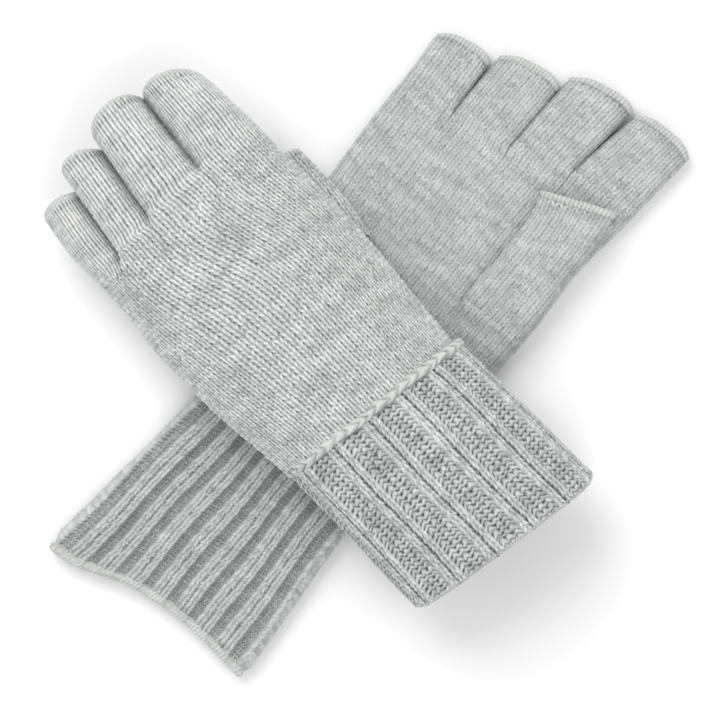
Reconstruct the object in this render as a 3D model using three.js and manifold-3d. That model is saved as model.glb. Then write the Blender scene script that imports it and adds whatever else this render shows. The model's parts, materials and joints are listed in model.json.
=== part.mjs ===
// A crossed pair of half-finger knitted gloves.
//
// The right glove lies flat with its palm up. The left glove lies across it with its back up and keeps
// the shape of a hand. Each glove is a knitted hand tube, five open finger stalls, a bound-off hem at the
// end of each stall, a ribbed cuff, the linking seam that joins cuff and hand, and the cuff's own end hem.
//
// Lengths are millimetres. Each glove is drawn in its own frame: x runs across from the little finger to
// the index finger, y runs from the wrist to the fingertips and z is up. A section of a tube is an outline
// with elliptic corners, drawn on a strip (s across, n through the thickness) that can curl down at both
// sides.

import * as THREE from 'three';
import Module from 'manifold-3d';
import { mergeVertices } from 'three/addons/utils/BufferGeometryUtils.js';

const wasm = await Module();
wasm.setup();

// Driving dimensions of the knitted pieces.
const WALL = 1.7; // thickness of the knitted fabric, with its loops
const GAP = 0.3; // clearance between neighbouring pieces
const SEAM_WIDTH = 2.4; // linking seam, measured along the glove
const HEM_WIDTH = 1.8; // bound-off hem of a finger stall
const CUFF_HEM_WIDTH = 2.6; // start-up hem of the cuff
const PROUD = 0.4; // how far the linking seam and the cuff's hem stand out from the fabric
const HEM_PROUD = 0.1; // how far a finger stall's hem stands out
const LAID_THICKNESS = 9.4; // the empty glove, lying flat

// How many flat sides stand for the round of each tube.
const STALL_SIDES = 24;
const HAND_SIDES = 36;
const CUFF_SIDES = 36;
const GUSSET_SIDES = 20;
const TURN_WEIGHT = 5; // millimetres of outline that one radian of turning counts for

// Where the left glove crosses the right one, measured in the right glove's frame.
const CROSSING = { x: 16.3, y: -6.5, turn: THREE.MathUtils.degToRad(80.6) };
// Moves the pair so that the origin is under the middle of its box.
const CENTRING = { x: 13.33, y: -8.02 };

const FABRIC = { color: 0xc1c3c1, roughness: 0.95, metalness: 0 };
const RIB_FABRIC = { color: 0xb4b6b4, roughness: 0.95, metalness: 0 };
const EDGE_YARN = { color: 0xcacbc8, roughness: 0.9, metalness: 0 };

// A row of a tube's table: the place along the glove, the left and right edge on the strip, the height of
// the strip, half the thickness, then the corner's width and height as shares of half the width and
// thickness.
const COLUMNS = ['along', 'left', 'right', 'height', 'half', 'cornerWide', 'cornerHigh'];

const flat = LAID_THICKNESS / 2;

const RIGHT = {
  name: 'right',
  curl: { left: 0, leftFrom: 0, right: 0, rightFrom: 0, begins: 0, ends: 1 },
  laid: true,
  hand: [
    [-32, -32, 36, flat, flat, 0.13, 1],
    [0, -37, 39.5, flat, flat, 0.12, 1],
    [25, -42.5, 42.5, flat, flat, 0.11, 1],
    [50, -45.3, 43.5, flat, flat, 0.1, 1],
    [78, -46.5, 42.6, flat, flat, 0.1, 1],
    [106, -47.2, 45.2, flat, flat, 0.1, 1],
  ],
  cuff: [
    [-34.4, -32, 36, flat, flat, 0.13, 1],
    [-60, -34.2, 38, flat, flat, 0.12, 1],
    [-111, -39.5, 41.6, flat, flat, 0.11, 1],
  ],
  cuffSlant: 0.1,
  fingers: [
    { name: 'little', root: 93, tip: 112.4, slant: 0.2, dome: 1.2, droop: 0, tilt: 0,
      rootEdges: [-47, -27.2], tipEdges: [-47.8, -28.1], half: [flat, 4.5], corner: [0.4, 0.9] },
    { name: 'ring', root: 96, tip: 120.6, slant: 0.2, dome: 1.2, droop: 0, tilt: 0,
      rootEdges: [-27.2, -4.2], tipEdges: [-27.2, -3.5], half: [flat, 4.5], corner: [0.35, 0.9] },
    { name: 'middle', root: 101, tip: 130.4, slant: 0.2, dome: 1.2, droop: 0, tilt: 0,
      rootEdges: [-4, 18.4], tipEdges: [-3.3, 20.8], half: [flat, 4.5], corner: [0.35, 0.9] },
    { name: 'index', root: 105, tip: 132.4, slant: 0, dome: 1.6, droop: 0, tilt: 0,
      rootEdges: [18.8, 45.2], tipEdges: [24.6, 47.4], half: [flat, 4.5], corner: [0.35, 0.9] },
  ],
  // The thumb stall lies on the palm. Its gusset rises out of the palm to the stall's root.
  thumb: {
    root: 48, tip: 96, slant: 0.42, tilt: 0,
    gusset: [
      [24, 21, 38, 4.8, 2.6, 0.4, 0.9],
      [36, 19, 40.5, 8.4, 4.2, 0.4, 0.9],
      [48, 17.2, 41.6, 13.9, 4.5, 0.4, 0.9],
    ],
    stall: [
      [48, 17.2, 41.6, 14.2, 4.5, 0.4, 0.9],
      [72, 17.3, 41.6, 14.2, 4.5, 0.4, 0.95],
      [96, 17.2, 40.2, 14.2, 4.5, 0.4, 0.95],
    ],
  },
};

const LEFT = {
  name: 'left',
  curl: { left: 49, leftFrom: 5, right: 90, rightFrom: 12, begins: 5, ends: 85 },
  laid: false,
  hand: [
    [0, -35.4, 38.2, 31, 20.5, 0.92, 0.95],
    [22, -38.6, 38.8, 31.6, 19.6, 0.92, 0.95],
    [45, -42, 39.6, 35.6, 16.8, 0.88, 0.95],
    [70, -46.6, 38.4, 38.6, 13.6, 0.75, 0.95],
    [90, -47.4, 36.8, 39.4, 11.8, 0.6, 0.95],
    [105, -47.2, 36, 39.2, 10.6, 0.45, 0.95],
  ],
  cuff: [
    [-2.4, -35.2, 38.6, 31, 20.5, 0.92, 0.95],
    [-30, -33.6, 41.2, 31.4, 21, 0.92, 0.95],
    [-66, -32.4, 42.8, 26.2, 21.5, 0.92, 0.95],
  ],
  cuffSlant: -0.12,
  fingers: [
    { name: 'little', root: 96.5, tip: 120, slant: 0, dome: 0.5, droop: 5, tilt: 0.45,
      rootEdges: [-47.2, -28.3], tipEdges: [-45.6, -28.3], half: [10, 9], corner: [0.75, 0.95] },
    { name: 'ring', root: 98.5, tip: 128, slant: 0, dome: 0.5, droop: 8, tilt: 0.6,
      rootEdges: [-28.3, -12], tipEdges: [-26.8, -9.4], half: [10.2, 9.3], corner: [0.7, 0.95] },
    { name: 'middle', root: 102, tip: 134, slant: 0, dome: 0.5, droop: 9, tilt: 0.6,
      rootEdges: [-11.6, 11.2], tipEdges: [-9, 12.6], half: [10.5, 9.8], corner: [0.6, 0.95] },
    { name: 'index', root: 104, tip: 130.5, slant: -0.2, dome: 1, droop: 8, tilt: 0.6,
      rootEdges: [11.2, 36], tipEdges: [12.6, 33.4], half: [10.4, 9.6], corner: [0.7, 0.95] },
  ],
  // The thumb stall is tucked under the palm, along its index edge.
  thumb: {
    root: 48, tip: 88, slant: -0.25, tilt: 0.1,
    gusset: [
      [20, 16, 33, 26, 5, 0.8, 0.95],
      [34, 16, 38.5, 20.8, 7.6, 0.8, 0.95],
      [48, 18.8, 41.6, 17.6, 5.8, 0.9, 0.95],
    ],
    stall: [
      [48, 18.8, 41.6, 17.6, 5.8, 0.9, 0.95],
      [66, 20, 43.4, 18.9, 6.7, 0.9, 0.95],
      [88, 20.2, 42.6, 20, 7.1, 0.9, 0.95],
    ],
  },
};

// Smooth interpolation in a table whose rows rise or fall along the glove.
function readTable(table, along) {
  const rows = table[0][0] < table[table.length - 1][0] ? table : [...table].reverse();
  const clamped = THREE.MathUtils.clamp(along, rows[0][0], rows[rows.length - 1][0]);
  let i = 0;
  while (i < rows.length - 2 && clamped > rows[i + 1][0]) i += 1;
  const [a, b] = [rows[i], rows[i + 1]];
  const before = rows[Math.max(i - 1, 0)];
  const after = rows[Math.min(i + 2, rows.length - 1)];
  const step = b[0] - a[0];
  const t = (clamped - a[0]) / step;
  const values = a.map((_, k) => {
    const startSlope = ((b[k] - before[k]) / (b[0] - before[0])) * step;
    const endSlope = ((after[k] - a[k]) / (after[0] - a[0])) * step;
    const hermite = (2 * t ** 3 - 3 * t ** 2 + 1) * a[k] + (t ** 3 - 2 * t ** 2 + t) * startSlope;
    return hermite + (3 * t ** 2 - 2 * t ** 3) * b[k] + (t ** 3 - t ** 2) * endSlope;
  });
  values[0] = along;
  return Object.fromEntries(COLUMNS.map((column, k) => [column, values[k]]));
}

// The outline of a section on its strip, counterclockwise from the middle of the right edge.
function outline(section, inset) {
  const halfWidth = (section.right - section.left) / 2 - inset;
  const halfHigh = section.half - inset;
  const wide = Math.min(section.cornerWide * (halfWidth + inset), halfWidth - 0.05);
  const high = Math.min(section.cornerHigh * (halfHigh + inset), halfHigh - 0.05);
  const middle = (section.left + section.right) / 2;
  const steps = 12;
  const points = [new THREE.Vector2(middle + halfWidth, 0)];
  for (let corner = 0; corner < 4; corner += 1) {
    const sideways = corner === 0 || corner === 3 ? 1 : -1;
    const upwards = corner < 2 ? 1 : -1;
    for (let i = 0; i <= steps; i += 1) {
      const angle = (corner + i / steps) * (Math.PI / 2);
      const s = middle + sideways * (halfWidth - wide) + wide * Math.cos(angle);
      const n = upwards * (halfHigh - high) + high * Math.sin(angle);
      points.push(new THREE.Vector2(s, n));
    }
  }
  return points;
}

// Spreads a number of points over a closed outline, closer together where it turns.
function spread(points, count) {
  const closed = [...points, points[0]];
  const reach = [0];
  for (let i = 1; i < closed.length; i += 1) {
    const step = closed[i].clone().sub(closed[i - 1]);
    const next = closed[(i % points.length) + 1].clone().sub(closed[i % points.length]);
    const area = step.length() * next.length();
    const turn = area > 0 ? Math.asin(Math.min(Math.abs(step.cross(next)) / area, 1)) : 0;
    reach.push(reach[i - 1] + step.length() + TURN_WEIGHT * turn);
  }
  const total = reach[reach.length - 1];
  const spreadPoints = [];
  let i = 0;
  for (let k = 0; k < count; k += 1) {
    const target = (k / count) * total;
    while (reach[i + 1] < target) i += 1;
    const share = (target - reach[i]) / (reach[i + 1] - reach[i]);
    spreadPoints.push(closed[i].clone().lerp(closed[i + 1], share));
  }
  return spreadPoints;
}

// Lays a point of the strip into the glove's frame, with the strip's two sides curled down.
function curled(glove, along, s, n, height) {
  const { curl } = glove;
  const amount = THREE.MathUtils.smoothstep(along, curl.begins, curl.ends);
  const side = s < curl.leftFrom ? -1 : 1;
  const from = side < 0 ? curl.leftFrom : curl.rightFrom;
  const radius = side < 0 ? curl.left : curl.right;
  const beyond = Math.max(0, (s - from) * side);
  if (radius === 0 || amount * beyond < 1e-6) return new THREE.Vector3(s, along, height + n);
  const bend = radius / amount;
  const angle = beyond / bend;
  const x = from + side * ((bend + n) * Math.sin(angle));
  return new THREE.Vector3(x, along, height + (bend + n) * Math.cos(angle) - bend);
}

// One ring of points around a section. The end of a tube may slant, dome and tilt.
function ring(glove, section, inset, count, ending = {}) {
  const { slant = 0, dome = 0, tilt = 0 } = ending;
  const middle = (section.left + section.right) / 2;
  const halfWidth = (section.right - section.left) / 2;
  return spread(outline(section, inset), count).map((point) => {
    const placed = curled(glove, section.along, point.x, point.y, section.height);
    const across = (point.x - middle) / halfWidth;
    placed.y += slant * (point.x - middle) + dome * (1 - across ** 2) + tilt * point.y;
    return placed;
  });
}

// Joins rings one after another. With closed = true the last ring meets the first, which makes a hollow
// tube; otherwise both ends are capped, which makes a solid.
function loft(rings, closed) {
  const count = rings[0].length;
  const vertices = rings.flat();
  const faces = [];
  const last = closed ? rings.length : rings.length - 1;
  for (let r = 0; r < last; r += 1) {
    const here = r * count;
    const there = ((r + 1) % rings.length) * count;
    for (let i = 0; i < count; i += 1) {
      const j = (i + 1) % count;
      faces.push([here + i, here + j, there + j], [here + i, there + j, there + i]);
    }
  }
  if (!closed) {
    const end = (rings.length - 1) * count;
    for (let i = 0; i < count / 2; i += 1) {
      const [a, b] = [i, i + 1];
      const [c, d] = [(count - i) % count, count - i - 1];
      if (a !== c) faces.push([a, c, d], [end + a, end + d, end + c]);
      if (b !== d) faces.push([a, d, b], [end + a, end + b, end + d]);
    }
  }
  const geometry = new THREE.BufferGeometry().setFromPoints(vertices);
  geometry.setIndex(faces.flat());
  return volumeOf(geometry) < 0 ? turnedOver(geometry) : geometry;
}

function volumeOf(geometry) {
  const [position, index] = [geometry.attributes.position, geometry.index];
  const corner = (k) => new THREE.Vector3().fromBufferAttribute(position, index.getX(k));
  let volume = 0;
  for (let k = 0; k < index.count; k += 3) {
    volume += corner(k).dot(corner(k + 1).cross(corner(k + 2))) / 6;
  }
  return volume;
}

function turnedOver(geometry) {
  const index = Array.from(geometry.index.array);
  for (let k = 0; k < index.length; k += 3) {
    [index[k + 1], index[k + 2]] = [index[k + 2], index[k + 1]];
  }
  geometry.setIndex(index);
  return geometry;
}

function toManifold(geometry) {
  const bare = geometry.clone();
  bare.deleteAttribute('normal');
  bare.deleteAttribute('uv');
  const merged = mergeVertices(bare, 1e-4);
  return new wasm.Manifold(new wasm.Mesh({
    numProp: 3,
    vertProperties: new Float32Array(merged.attributes.position.array),
    triVerts: new Uint32Array(merged.index.array),
  }));
}

function toGeometry(solid) {
  const mesh = solid.getMesh();
  const geometry = new THREE.BufferGeometry();
  geometry.setAttribute('position', new THREE.BufferAttribute(mesh.vertProperties, mesh.numProp));
  geometry.setIndex(new THREE.BufferAttribute(mesh.triVerts, 1));
  return geometry;
}

function spaced(from, to, steps) {
  return Array.from({ length: steps + 1 }, (_, i) => from + ((to - from) * i) / steps);
}

// A hollow tube between two places of a table. ending(share) shapes its far end.
function tube(glove, sectionAt, from, to, { steps, count, ending = () => ({}) }) {
  const places = spaced(from, to, steps);
  const shaped = (inset) => places.map((along) => {
    const share = (along - from) / (to - from);
    return ring(glove, sectionAt(along), inset, count, ending(share));
  });
  return loft([...shaped(0), ...shaped(WALL).reverse()], true);
}

// The capped body of a tube, for joining and cutting.
function body(glove, sectionAt, from, to, { steps, count, inset }) {
  const rings = spaced(from, to, steps).map((along) => ring(glove, sectionAt(along), inset, count));
  return toManifold(loft(rings, false));
}

// A narrow band of yarn around a tube: it stands proud of the fabric outside and inside.
function band(glove, sectionAt, from, width, { proud, count, ending = {} }) {
  const raised = (section, extra) => {
    const grown = { ...section, left: section.left - extra, right: section.right + extra };
    // On the laid glove the band may not reach below the surface, so it grows upwards only.
    const lift = glove.laid ? extra / 2 : 0;
    return { ...grown, half: section.half + extra - lift, height: section.height + lift };
  };
  const edge = (along, extra, inset) => ring(glove, raised(sectionAt(along), extra), inset, count, ending);
  const crest = from + width / 2;
  const to = from + width;
  return loft([
    edge(from, 0, 0),
    edge(crest, proud, 0),
    edge(to, 0, 0),
    edge(to, 0, WALL),
    edge(from, 0, WALL),
  ], true);
}

function named(name, geometry, finish) {
  geometry.computeVertexNormals();
  const mesh = new THREE.Mesh(geometry, new THREE.MeshStandardMaterial(finish));
  mesh.name = name;
  return mesh;
}

// The section of a finger stall at a place along the glove, between its root and its tip.
function fingerSection(glove, finger, along) {
  const hand = readTable(glove.hand, finger.root);
  const share = (along - finger.root) / (finger.tip - finger.root);
  const between = (pair) => THREE.MathUtils.lerp(pair[0], pair[1], share);
  return {
    along,
    left: between([finger.rootEdges[0], finger.tipEdges[0]]) + GAP / 2,
    right: between([finger.rootEdges[1], finger.tipEdges[1]]) - GAP / 2,
    height: hand.height - finger.droop * share ** 2,
    half: between(finger.half),
    cornerWide: between(finger.corner),
    cornerHigh: 0.95,
  };
}

// The hand tube with its thumb gusset, its front edge stepped to each finger's root.
function handTube(glove) {
  const table = glove.hand;
  const [from, to] = [table[0][0], Math.max(...glove.fingers.map((finger) => finger.root))];
  const sectionAt = (along) => readTable(table, along);
  const gussetAt = (along) => readTable(glove.thumb.gusset, along);
  const [start, root] = [glove.thumb.gusset[0][0], glove.thumb.root];
  const shell = body(glove, sectionAt, from, to, { steps: 7, count: HAND_SIDES, inset: 0 });
  const gusset = body(glove, gussetAt, start, root, { steps: 3, count: GUSSET_SIDES, inset: 0 });
  const hollow = body(glove, sectionAt, from - 1, to + 1, { steps: 7, count: HAND_SIDES, inset: WALL });
  const passage = body(glove, gussetAt, start, root + 1, { steps: 3, count: GUSSET_SIDES, inset: WALL });
  let hand = shell.add(gusset).subtract(hollow).subtract(passage);
  for (const finger of glove.fingers.filter((each) => each.root < to)) {
    hand = hand.subtract(frontCutter(glove, finger, to));
  }
  return toGeometry(hand);
}

// Takes the hand's front edge back to one finger's root, from that finger's left edge to its neighbour's.
function frontCutter(glove, finger, front) {
  const beyond = 3;
  const order = glove.fingers.indexOf(finger);
  const section = (along) => ({
    along,
    left: finger.rootEdges[0] - (order === 0 ? beyond : 0),
    right: glove.fingers[order + 1].rootEdges[0],
    height: readTable(glove.hand, finger.root).height,
    half: 3 * LAID_THICKNESS,
    cornerWide: 0.02,
    cornerHigh: 0.02,
  });
  return body(glove, section, finger.root, front + beyond, { steps: 1, count: 24, inset: 0 });
}

function fingerPieces(glove, finger) {
  const { slant, dome, tilt } = finger;
  const ending = (share) => ({ slant: slant * share, dome: dome * share, tilt: tilt * share ** 1.5 });
  const sectionAt = (along) => fingerSection(glove, finger, along);
  const stallEnd = finger.tip - HEM_WIDTH - GAP;
  const stallShape = { steps: 5, count: STALL_SIDES, ending };
  const stall = tube(glove, sectionAt, finger.root + GAP, stallEnd, stallShape);
  const hemShape = { proud: HEM_PROUD, count: STALL_SIDES, ending: ending(1) };
  const hem = band(glove, sectionAt, stallEnd + GAP, HEM_WIDTH, hemShape);
  return [
    named(`${glove.name}_${finger.name}_stall`, stall, FABRIC),
    named(`${glove.name}_${finger.name}_hem`, hem, EDGE_YARN),
  ];
}

function thumbPieces(glove) {
  const { thumb } = glove;
  const ending = (share) => ({ slant: thumb.slant * share, dome: 0, tilt: thumb.tilt * share });
  const sectionAt = (along) => readTable(thumb.stall, along);
  const stallEnd = thumb.tip - HEM_WIDTH - GAP;
  const stallShape = { steps: 6, count: STALL_SIDES, ending };
  const stall = tube(glove, sectionAt, thumb.root + GAP, stallEnd, stallShape);
  const hemShape = { proud: HEM_PROUD, count: STALL_SIDES, ending: ending(1) };
  const hem = band(glove, sectionAt, stallEnd + GAP, HEM_WIDTH, hemShape);
  return [
    named(`${glove.name}_thumb_stall`, stall, FABRIC),
    named(`${glove.name}_thumb_hem`, hem, EDGE_YARN),
  ];
}

function cuffPieces(glove) {
  const sectionAt = (along) => readTable(glove.cuff, along);
  const handEnd = glove.hand[0][0];
  const cuffStart = glove.cuff[0][0] - 2 * GAP;
  const cuffEnd = glove.cuff[glove.cuff.length - 1][0];
  const ending = (share) => ({ slant: glove.cuffSlant * share });
  const seam = band(glove, sectionAt, handEnd - GAP, -SEAM_WIDTH, { proud: PROUD, count: CUFF_SIDES });
  const cuff = tube(glove, sectionAt, cuffStart, cuffEnd, { steps: 6, count: CUFF_SIDES, ending });
  const hemShape = { proud: PROUD, count: CUFF_SIDES, ending: ending(1) };
  const hem = band(glove, sectionAt, cuffEnd - GAP, -CUFF_HEM_WIDTH, hemShape);
  return [
    named(`${glove.name}_linking_seam`, seam, EDGE_YARN),
    named(`${glove.name}_cuff`, cuff, RIB_FABRIC),
    named(`${glove.name}_cuff_hem`, hem, EDGE_YARN),
  ];
}

function gloveGroup(glove) {
  const group = new THREE.Group();
  group.add(named(`${glove.name}_hand`, handTube(glove), FABRIC));
  for (const finger of glove.fingers) group.add(...fingerPieces(glove, finger));
  group.add(...thumbPieces(glove));
  group.add(...cuffPieces(glove));
  return group;
}

const pair = new THREE.Group();
const laidGlove = gloveGroup(RIGHT);
const crossingGlove = gloveGroup(LEFT);
crossingGlove.rotation.z = CROSSING.turn;
crossingGlove.position.set(CROSSING.x, CROSSING.y, 0);
pair.add(laidGlove, crossingGlove);
pair.position.set(CENTRING.x, CENTRING.y, 0);

export default pair;
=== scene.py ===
"""A crossed pair of half-finger knitted gloves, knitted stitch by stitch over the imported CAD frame.

Every fabric surface is a grid of wales (columns of stitches) and courses (rows of stitches), laid over the
same sections as the CAD solids and raised into stitches. Lengths are millimetres until they are placed in
the row frame. In a glove's own frame x runs across from the little finger to the index finger, y from the
wrist to the fingertips and z is up; s is the place across a strip of fabric before its sides curl down.
"""

import json
import math

import bpy
import numpy as np
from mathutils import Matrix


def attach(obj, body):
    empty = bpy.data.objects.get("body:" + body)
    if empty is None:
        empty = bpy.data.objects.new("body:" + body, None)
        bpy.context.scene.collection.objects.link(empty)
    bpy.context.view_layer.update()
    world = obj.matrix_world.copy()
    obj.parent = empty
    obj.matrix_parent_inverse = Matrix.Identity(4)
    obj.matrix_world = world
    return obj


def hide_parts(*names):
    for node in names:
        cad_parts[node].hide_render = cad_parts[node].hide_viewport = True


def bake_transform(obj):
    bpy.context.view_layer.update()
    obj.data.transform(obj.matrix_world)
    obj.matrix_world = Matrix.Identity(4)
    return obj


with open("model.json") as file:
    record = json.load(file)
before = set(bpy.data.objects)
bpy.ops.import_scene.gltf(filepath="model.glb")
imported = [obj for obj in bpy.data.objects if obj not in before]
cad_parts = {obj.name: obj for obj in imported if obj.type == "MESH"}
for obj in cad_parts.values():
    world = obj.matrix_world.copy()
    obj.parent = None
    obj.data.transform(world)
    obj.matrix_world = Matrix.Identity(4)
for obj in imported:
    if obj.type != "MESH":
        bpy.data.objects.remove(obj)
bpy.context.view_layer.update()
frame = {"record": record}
joints = {joint["name"]: joint for joint in frame["record"]["behaviour"]["joints"]}

MM = 0.001
WALE_STEPS = 8  # mesh columns across one wale
PLAIN_INSET = 0.45  # the plain fabric's grooves lie this far inside the CAD surface
KNIT_WALES = 2  # the knit wales of one rib repeat
PURL_WALES = 3  # and its purl wales
RIB_WALES = KNIT_WALES + PURL_WALES
RIB_REPEATS = 14  # around one cuff
CUFF_WALES = RIB_REPEATS * RIB_WALES
CUFF_TUCK = 2.2  # the ribs begin this far up under the linking seam
RIB_INSET = 0.75  # the ribs' crowns lie this far inside the CAD surface, without their stitches
SEAM_INSET = 0.9  # the chain is laid this far inside the cuff's section
SEAM_LINKS = 46  # links of the chain round one seam
SEAM_HALF_WIDTH = 2.1
HEM = 2.2  # width of the rolled band at the end of a stall
HEM_DEPTH = 7  # and how far it runs back inside
BEND = 12  # a stall's bend length, passed to bend(), which bends nothing
CUFF_BEND = (-2, -46)  # places passed to bend() for the upper glove's cuff, which bends nothing
SLOPE_FADE = (2, 30)  # the wrist's slant dies away between these distances from it
LEAN_FADE = 55  # the wales' lean dies away from here up to the split
CREASE_SHADE = 0.55  # how much darker the bottom of a cleft is
OUTER_FADE = 14  # the hand's outer edges turn into the outer fingers' over this much more length

# The CAD's joints in a glove's own frame, from which the gloves' places in the row frame are found.
LAID_INDEX_HINGE = (32.0, 105.15)
WORN_WRIST_HINGE = 0.15  # this far up the hand

# The sections' tables, as in the CAD: the place along the glove, the left and right edge, the height of the
# section's middle, half its thickness, and its corner as shares of half the width and half the thickness.
ALONG, LEFT_EDGE, RIGHT_EDGE, HEIGHT, HALF, CORNER_WIDE, CORNER_HIGH = range(7)

LAID = 4.7  # half the thickness of the glove that lies flat


def finger_table(wales, tip, tip_edges, slant, dome, droop=0, tilt=0, half=(LAID, 4.3), corner=(0.3, 0.42)):
    """A finger's table: its end leans across by the slant, bulges by the dome, hangs down by the droop and
    leans back by the tilt; half its thickness and its roundness are given at its root and at its end."""
    return {"wales": wales, "tip": tip, "tip_edges": tip_edges, "slant": slant, "dome": dome,
            "droop": droop, "tilt": tilt, "half": half, "corner": corner}


# What the names in a glove's table mean:
#   course, course_steps: the length of one course and its mesh rows
#   relief, centre: the height of a stitch, and the share of it left in the middle of its V
#   wander, pucker: how far the ribs stray, in wales, and how far a stall draws in before its hem
#   crease, groove: how far a cleft's shade reaches, and the length over which the cleft forms
#   drawn: how far the stalls' stitches are drawn out straight, from 0 to 1
#   lean, seam_slope: how far the hand's wales crowd to one side, and how far the wrist slants
#   side_inset, fold_smoothing: how far in the cuff's sides lie, and how plain its folds are
#   cuff_hem: the edge's width and height, and the shares of the ribs' rise on it and before it
#   curl: each side's radius and start, and the places along the glove between which it grows
#   cuff_end: where the cuff ends, at places across it
#   cuff_front_ribs, cuff_phase: rib repeats on the upper side, and the first rib's place
#   rib: its rise, its knit wales' width, its course, its hollows' shade and its middle's gap
#   crotches, boundaries: where the clefts end, and where the fingers meet
#   side_wales: the extra wales on each inner side of a finger

RIGHT = {
    "name": "right",
    "palm_up": True,
    "course": 1.54,
    "course_steps": 3,
    "relief": 0.6,
    "centre": 0.6,
    "wander": 0.2,
    "crease": 0.8,
    "pucker": 0.35,
    "drawn": 0.1,
    "lean": 0,
    "seam_slope": 0,
    "side_inset": 2.0,
    "cuff_hem": {"band": 3.0, "proud": 1.0, "ribs": 0.3, "rib_end": 0.35},
    "fold_smoothing": 0.65,
    "curl": None,
    "hand": [
        [-32, -32, 36, LAID, LAID, 0.13, 1],
        [0, -37.6, 39.5, LAID, LAID, 0.12, 1],
        [25, -43.6, 42.5, LAID, LAID, 0.11, 1],
        [50, -46.5, 43.5, LAID, LAID, 0.1, 1],
        [78, -47.8, 42.6, LAID, LAID, 0.1, 1],
        [106, -48.5, 45.2, LAID, LAID, 0.1, 1],
    ],
    "cuff": [
        [-34.4, -32, 36, LAID, LAID, 0.13, 1],
        [-60, -34.4, 38.2, LAID, LAID, 0.12, 1],
        [-111, -40, 42, LAID, LAID, 0.11, 1],
    ],
    "cuff_end": [[-40, -114.8], [-29, -113.8], [-9, -106.9], [10, -104.6], [27, -105.4], [42, -107.3]],
    "cuff_front_ribs": 7.8,
    "cuff_phase": -2.4,
    "rib": {"rise": 2.3, "knit": 1.68, "course": 1.57, "valley": 0.78, "gap": 0.3},
    "groove": 2.5,
    "crotches": [94.3, 97.3, 104.6],
    "boundaries": [-48.5, -27.2, -4.1, 18.6, 45.2],
    "fingers": {
        "little": finger_table(8, 114, [-49, -28.1], slant=0.2, dome=2.4),
        "ring": finger_table(9, 122.2, [-27.2, -3.5], slant=0.2, dome=2.8),
        "middle": finger_table(8, 132.1, [-3.3, 21.6], slant=0.2, dome=2.8),
        "index": finger_table(10, 134.2, [23, 47.4], slant=0, dome=2.6),
    },
    "side_wales": 1,
    "thumb": {
        "wales": 10, "slant": 0.42, "tilt": 0,
        "gusset": [
            [22, 21, 38, 4.8, 3.0, 0.6, 1],
            [36, 19, 40.5, 8.2, 3.4, 0.5, 1],
            [48, 17.2, 41.6, 12.8, 3.3, 0.4, 1],
        ],
        "stall": [
            [46, 17.2, 41.6, 12.7, 3.2, 0.3, 1],
            [72, 17.3, 41.6, 13.3, 3.5, 0.3, 1],
            [88, 16.6, 40.8, 13.3, 3.5, 0.3, 1],
            [97.5, 14, 39.8, 13.3, 3.5, 0.3, 1],
        ],
    },
}

LEFT = {
    "name": "left",
    "palm_up": False,
    "course": 2.1,
    "course_steps": 5,
    "relief": 0.85,
    "centre": 0.5,
    "wander": 0.1,
    "crease": 1.7,
    "pucker": 0.08,
    "drawn": 0.9,
    "lean": 0.06,
    "seam_slope": 0.05,
    "side_inset": 1.4,
    "cuff_hem": {"band": 1.1, "proud": 0.1, "ribs": 0.95, "rib_end": 0.95},
    "fold_smoothing": 0,
    "curl": {"left": 49, "left_from": 5, "right": 90, "right_from": 12, "begins": 5, "ends": 85},
    "hand": [
        [0, -35.4, 38.2, 31, 20.5, 0.92, 1],
        [22, -38.6, 38.8, 31.6, 19.6, 0.92, 1],
        [45, -42, 39.6, 35.6, 16.8, 0.88, 1],
        [70, -46.6, 38.4, 38.6, 13.6, 0.75, 1],
        [90, -47.4, 36.8, 39.4, 11.8, 0.6, 1],
        [105, -47.2, 36, 39.2, 10.6, 0.45, 1],
    ],
    "cuff": [
        [-2.4, -34.8, 40.2, 31, 20.5, 0.92, 1],
        [-30, -33.2, 42.4, 31.4, 21, 0.92, 1],
        [-66, -32.2, 45.4, 26.2, 21.5, 0.92, 1],
    ],
    "cuff_end": [[-33, -60.6], [-30, -63.6], [-24, -65.4], [5, -68], [38, -70.2], [42, -69.4], [46, -66.4]],
    "cuff_front_ribs": 6,
    "cuff_phase": -2.8,
    "rib": {"rise": 1.1, "knit": 1.12, "course": 1.95, "valley": 0.87, "gap": 0.75},
    "groove": 6,
    "crotches": [98, 103.6, 106],
    "boundaries": [-47.2, -28.3, -11.8, 11.2, 36],
    "fingers": {
        "little": finger_table(10, 122.4, [-45.6, -26.8], 0.15, 0.8, 5, 0.45, [10, 9], [0.8, 0.95]),
        "ring": finger_table(6, 129.2, [-25.8, -9.6], 0, 0.8, 8, 0.6, [10.2, 9.3], [0.8, 0.95]),
        "middle": finger_table(8, 134, [-9, 12.6], 0, 0.8, 9, 0.6, [10.5, 9.8], [0.75, 0.95]),
        "index": finger_table(11, 129.2, [12.6, 33.4], -0.4, 1, 8, 0.6, [10.4, 9.6], [0.8, 0.95]),
    },
    "side_wales": 3,
    "thumb": {
        "wales": 9, "slant": -0.25, "tilt": 0.1,
        "gusset": [
            [20, 16, 33, 26, 5, 0.8, 1],
            [34, 16, 38.5, 20.8, 7.6, 0.8, 1],
            [48, 18.8, 41.6, 17.6, 5.8, 0.9, 1],
        ],
        "stall": [
            [46, 18.8, 41.6, 17.6, 5.6, 0.9, 1],
            [66, 20, 43.4, 18.9, 6.5, 0.9, 1],
            [88, 20.2, 42.6, 20, 6.9, 0.9, 1],
        ],
    },
}


# ---- places

def smoothstep(value, low, high):
    share = np.clip((value - low) / (high - low), 0, 1)
    return share * share * (3 - 2 * share)


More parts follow.
